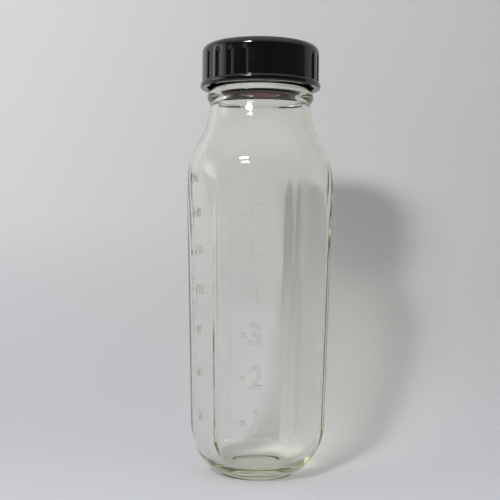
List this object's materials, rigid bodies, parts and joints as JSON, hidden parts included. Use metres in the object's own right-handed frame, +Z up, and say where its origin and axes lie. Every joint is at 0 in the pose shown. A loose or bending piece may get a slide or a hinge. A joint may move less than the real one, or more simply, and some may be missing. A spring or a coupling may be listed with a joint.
{
  "type": "baby bottle",
  "caption": "Glass nursing bottle with six slightly bowed panels, round neck, black fluted screw ring and a pink sealing disc held on its rim.",
  "frame": {"origin": "on the table under the bottle's axis, at the plane of its bearing ring", "axes": "+Z up along the bottle's axis, a panel facing -Y, arrises on +X and -X"},
  "size_m": [0.0603, 0.059, 0.175],
  "materials": {
    "clear_glass": "moulded clear soda-lime glass with a slight green-grey cast",
    "pink_rubber": "dusty pink moulded rubber, satin",
    "black_phenolic": "black compression-moulded phenolic, glossy"
  },
  "bodies": {
    "bottle": {"glass_bottle": "clear_glass"},
    "disc": {"sealing_disc": "pink_rubber"},
    "ring": {"screw_ring": "black_phenolic"}
  },
  "joints": [
    {"name": "closure_rise", "type": "slide", "parent": "bottle", "child": "disc", "axis": [0, 0, 1], "range_m": [0, 0.01694]},
    {"name": "ring_turn", "type": "hinge", "parent": "disc", "child": "ring", "pos_m": [0, 0, 0.1665], "axis": [0, 0, 1], "range_deg": [0, 1440]}
  ],
  "couplings": [
    {"joint": "closure_rise", "follows": "ring_turn", "m_per_rad": 0.00067375}
  ]
}
